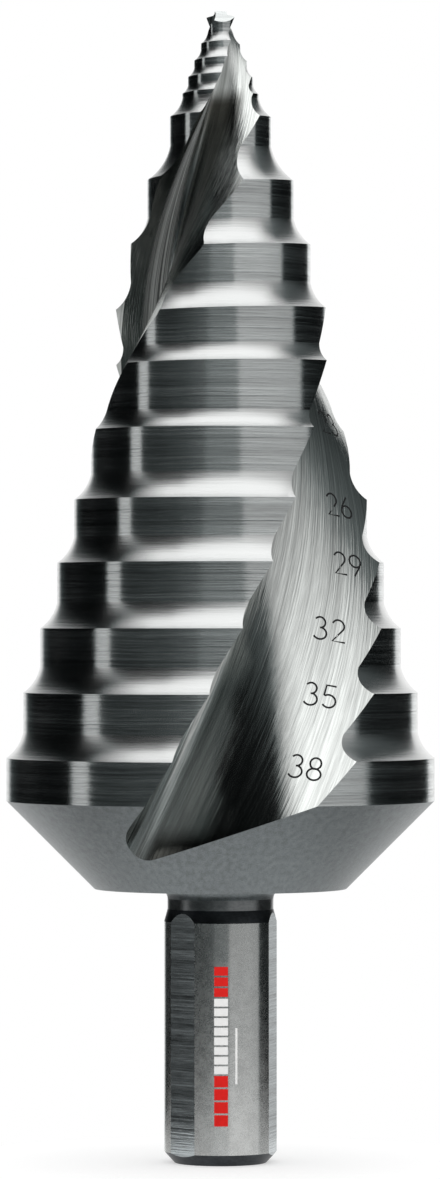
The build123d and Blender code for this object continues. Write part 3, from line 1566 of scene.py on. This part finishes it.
FINISHES: dict[Finish, SteelFinish | PrintFinish] = {
    Finish.GROUND: SteelFinish(
        colour=(0.63, 0.655, 0.65),
        roughness=0.215,
        roughness_swing=0.05,
        across=5.5,
        along=0.04,
        depth=0.080,
        tone=0.27,
        anisotropy=1.0,
    ),
    Finish.COVE: SteelFinish(
        colour=(0.68, 0.69, 0.685),
        roughness=0.23,
        roughness_swing=0.02,
        across=4.5,
        along=0.05,
        depth=0.030,
        tone=0.05,
        anisotropy=1.0,
    ),
    Finish.FLUTE: FluteFinish(
        colour=(0.575, 0.595, 0.58),
        roughness=0.12,
        roughness_swing=0.03,
        across=6.0,
        along=0.06,
        depth=0.050,
        tone=0.28,
        anisotropy=0.85,
    ),
    Finish.BLASTED: SteelFinish(
        colour=(0.205, 0.228, 0.235),
        roughness=0.46,
        roughness_swing=0.05,
        across=7.0,
        along=7.0,
        depth=0.030,
        tone=0.36,
        sheen=0.42,
    ),
    Finish.TURNED: SteelFinish(
        colour=(0.64, 0.65, 0.64),
        roughness=0.27,
        roughness_swing=0.03,
        across=4.0,
        along=4.0,
        depth=0.004,
        tone=0.12,
        anisotropy=1.0,
    ),
    Finish.MILLED: SteelFinish(
        colour=(0.42, 0.455, 0.465),
        roughness=0.16,
        roughness_swing=0.03,
        across=6.0,
        along=0.07,
        depth=0.020,
        tone=0.42,
        anisotropy=0.5,
    ),
    Finish.NECK: SteelFinish(
        colour=(0.30, 0.31, 0.315),
        roughness=0.36,
        roughness_swing=0.05,
        across=5.0,
        along=3.0,
        depth=0.006,
        tone=0.25,
        anisotropy=0.6,
    ),
    Finish.BLACKENED: SteelFinish(
        colour=(0.05, 0.055, 0.06),
        roughness=0.38,
        roughness_swing=0.05,
        across=5.0,
        along=3.0,
        depth=0.006,
        tone=0.30,
    ),
    Finish.MARKING: PrintFinish(colour=(0.012, 0.012, 0.013), roughness=0.55, grains=6.0, tone=0.3),
    Finish.RED: PrintFinish(colour=(0.80, 0.010, 0.007), roughness=0.45, grains=2.0, tone=0.06),
    Finish.WHITE: PrintFinish(colour=(0.94, 0.94, 0.93), roughness=0.45, grains=2.0, tone=0.03),
}


@dataclass(frozen=True)
class Panel:
    """One upright of the studio round the drill, as polished steel shows it.

    Angle is measured from the camera, in degrees towards +X. Light, under and above are the wall's brightness
    at eye level, lower down and higher up. The bright ceiling begins at one upward part of the direction and
    is full at another, and the wall ends at the downward part dip.
    """

    angle: float
    light: float
    under: float
    above: float
    ceiling: float
    full: float
    dip: float = 0.19


@dataclass
class Studio:
    """White floor and background, with light and dark walls and a bright ceiling that only the steel sees.

    The floor's radius is in metres. Blur is how far the wall's lower edge is soft, and above_from the range
    in which its light changes to the light above, both as upward parts of the direction. Card is the colour
    that the darkest places of the walls lean to.
    """

    floor_radius: float = 0.026
    floor_sides: int = 64
    floor_colour: Colour = (0.65, 0.65, 0.65)
    floor_glow: float = 0.45
    ceiling_light: float = 1.5
    blur: float = 0.07
    above_from: tuple[float, float] = (0.18, 0.42)
    card: Colour = (0.84, 1.0, 1.02)
    panels: tuple[Panel, ...] = (
        Panel(-180.0, 1.0, 1.0, 1.0, 0.30, 0.75, 0.30),
        Panel(-164.0, 0.82, 0.95, 0.82, 0.40, 0.85, 0.30),
        Panel(-154.0, 0.05, 0.90, 0.06, 0.70, 0.88, 0.30),
        Panel(-140.0, 0.005, 0.50, 0.005, 0.77, 0.92, 0.30),
        Panel(-120.0, 0.003, 0.06, 0.003, 0.77, 0.92, 0.32),
        Panel(-87.5, 0.003, 0.015, 0.003, 0.77, 0.92, 0.26),
        Panel(-86.5, 0.76, 0.15, 0.40, 0.76, 0.88),
        Panel(-75.5, 0.76, 0.15, 0.40, 0.76, 0.86),
        Panel(-74.5, 0.03, 0.06, 0.006, 0.78, 0.87),
        Panel(-50.0, 0.03, 0.12, 0.003, 0.80, 0.88),
        Panel(-38.0, 0.075, 0.01, 0.005, 0.75, 0.83),
        Panel(-15.0, 0.165, 0.008, 0.01, 0.66, 0.74),
        Panel(-12.0, 0.29, 0.01, 0.04, 0.64, 0.73),
        Panel(12.0, 0.31, 0.03, 0.12, 0.56, 0.70),
        Panel(17.0, 0.29, 0.04, 0.14, 0.52, 0.70),
        Panel(18.5, 0.62, 0.10, 0.48, 0.51, 0.77),
        Panel(60.0, 0.61, 0.15, 0.50, 0.53, 0.86),
        Panel(84.0, 0.58, 0.12, 0.36, 0.60, 0.88),
        Panel(87.5, 0.008, 0.08, 0.26, 0.74, 0.90, 0.22),
        Panel(102.0, 0.004, 0.05, 0.14, 0.74, 0.90, 0.30),
        Panel(120.0, 0.004, 0.10, 0.09, 0.74, 0.90, 0.32),
        Panel(145.0, 0.008, 0.50, 0.05, 0.72, 0.90, 0.32),
        Panel(149.0, 0.10, 0.80, 0.16, 0.65, 0.90, 0.30),
        Panel(152.0, 0.86, 0.92, 0.80, 0.50, 0.88, 0.30),
        Panel(159.0, 0.92, 0.95, 0.92, 0.40, 0.85, 0.30),
        Panel(180.0, 1.0, 1.0, 1.0, 0.30, 0.75, 0.30),
    )

    def world(self) -> None:
        """Give the scene its surroundings: walls and a bright ceiling to the steel, else plain white."""
        world = bpy.data.worlds.new("studio")
        bpy.context.scene.world = world
        world.use_nodes = True
        nodes = Nodes(world.node_tree)
        axes = nodes.add("SeparateXYZ", Vector=nodes.add("TexCoord").outputs["Generated"])
        up = axes.outputs["Z"]
        back = nodes.math("MULTIPLY", axes.outputs["Y"], -1.0)
        angle = nodes.math("ARCTAN2", axes.outputs["X"], back)
        share = nodes.math("ADD", nodes.math("DIVIDE", angle, 2 * math.pi), 0.5)
        lights, levels = [], []
        for panel in self.panels:
            place = panel.angle / 360 + 0.5
            lights.append((place, (panel.light, panel.under, panel.above)))
            levels.append((place, (panel.ceiling, panel.full, panel.dip)))
        light, under, above = nodes.add("SeparateColor", Color=nodes.ramp(share, lights)).outputs
        ceiling, full, dip = nodes.add("SeparateColor", Color=nodes.ramp(share, levels)).outputs
        low = nodes.spread(nodes.math("ADD", up, dip), (-self.blur, self.blur), (under, light))
        walls = nodes.spread(up, self.above_from, (low, above))
        rise = nodes.spread(up, (ceiling, full))
        blend = {"data_type": "FLOAT"}
        room = nodes.add("Mix", blend, _0=rise, _2=walls, _3=self.ceiling_light).outputs[0]
        plain = nodes.seen_by("Is Camera Ray", "Is Transmission Ray", "Is Diffuse Ray")
        seen = nodes.add("Mix", blend, _0=plain, _2=room, _3=1.0).outputs[0]
        colour = nodes.ramp(seen, [(0.0, self.card), (0.5, (1.0, 1.0, 1.0))])
        background = nodes.add("Background", Color=colour, Strength=seen)
        nodes.add("OutputWorld", Surface=background.outputs["Background"])

    def floor(self) -> bpy.types.Object:
        """Build a round white floor that keeps the drill's shadow.

        Returns:
            The floor, not a part of the drill.
        """
        turns = 2 * math.pi * np.arange(self.floor_sides) / self.floor_sides
        rim = self.floor_radius * np.stack([np.cos(turns), np.sin(turns), 0 * turns], axis=-1)
        faces = [(0, index + 1, (index + 1) % self.floor_sides + 1) for index in range(self.floor_sides)]
        floor = new_object("studio_floor", np.vstack([(0.0, 0.0, 0.0), rim]), faces)
        material, nodes = new_material("white_floor")
        paper = nodes.add("BsdfDiffuse", Color=(*self.floor_colour, 1.0))
        seen = nodes.seen_by("Is Camera Ray", "Is Transmission Ray", "Is Glossy Ray")
        glow = nodes.add("Emission", Strength=nodes.math("MULTIPLY", seen, self.floor_glow))
        both = nodes.add("AddShader", _0=paper.outputs["BSDF"], _1=glow.outputs["Emission"])
        nodes.add("OutputMaterial", Surface=both.outputs["Shader"])
        floor.data.materials.append(material)
        return floor


@dataclass
class Camera:
    """A level camera in front of the drill. Lengths in millimetres, image size in pixels."""

    distance: float = 514.0
    eye: float = 47.5
    image_width: int = 440
    image_height: int = 1179
    scale: float = 11.26
    base_line: float = 1162.0
    axis_line: float = 220.5
    sensor: float = 36.0
    nearest: float = 10.0

    def build(self) -> bpy.types.Object:
        """Create the camera, look along +Y and frame the drill by a small shift.

        Returns:
            The camera, in use by the scene.
        """
        seen = self.image_height / self.scale
        centre = (self.base_line - self.image_height / 2) / self.scale
        data = bpy.data.cameras.new("studio_camera")
        data.sensor_width = self.sensor
        data.lens = self.sensor * self.distance / seen
        data.shift_x = (self.image_width / 2 - self.axis_line) / self.image_height
        data.shift_y = (centre - self.eye) / seen
        data.clip_start = self.nearest * MM
        camera = bpy.data.objects.new("studio_camera", data)
        camera.location = (0.0, -self.distance * MM, self.eye * MM)
        camera.rotation_euler = (math.pi / 2, 0.0, 0.0)
        bpy.context.scene.collection.objects.link(camera)
        bpy.context.scene.camera = camera
        return camera


@dataclass
class Drill:
    """The whole drill: one body of steel with its size numbers and printed bars."""

    head: Head = field(default_factory=Head)
    shank: Shank = field(default_factory=Shank)

    def build(self) -> list[bpy.types.Object]:
        """Build the skin in the place of the CAD solid, and what is marked on it.

        Returns:
            The skin, the size numbers and the printed bars.
        """
        body = Skin(self.shank.patches() + self.head.patches()).build("drill_body")
        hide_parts(NODE)
        return [body, SizeNumbers(self.head).build(), ShankPrint(self.shank).build()]


def main() -> None:
    """Build the studio and the drill, and report each piece."""
    logging.basicConfig(level=logging.INFO, format="%(name)s %(message)s")
    bpy.context.scene.view_settings.view_transform = "Standard"
    Camera().build()
    studio = Studio()
    studio.world()
    for piece in [studio.floor(), *Drill().build()]:
        log.info("%s: %d faces", piece.name, len(piece.data.polygons))
    low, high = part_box(NODE)
    log.info("CAD height %.2f mm", (high.z - low.z) / MM)


if __name__ == "__main__":
    main()
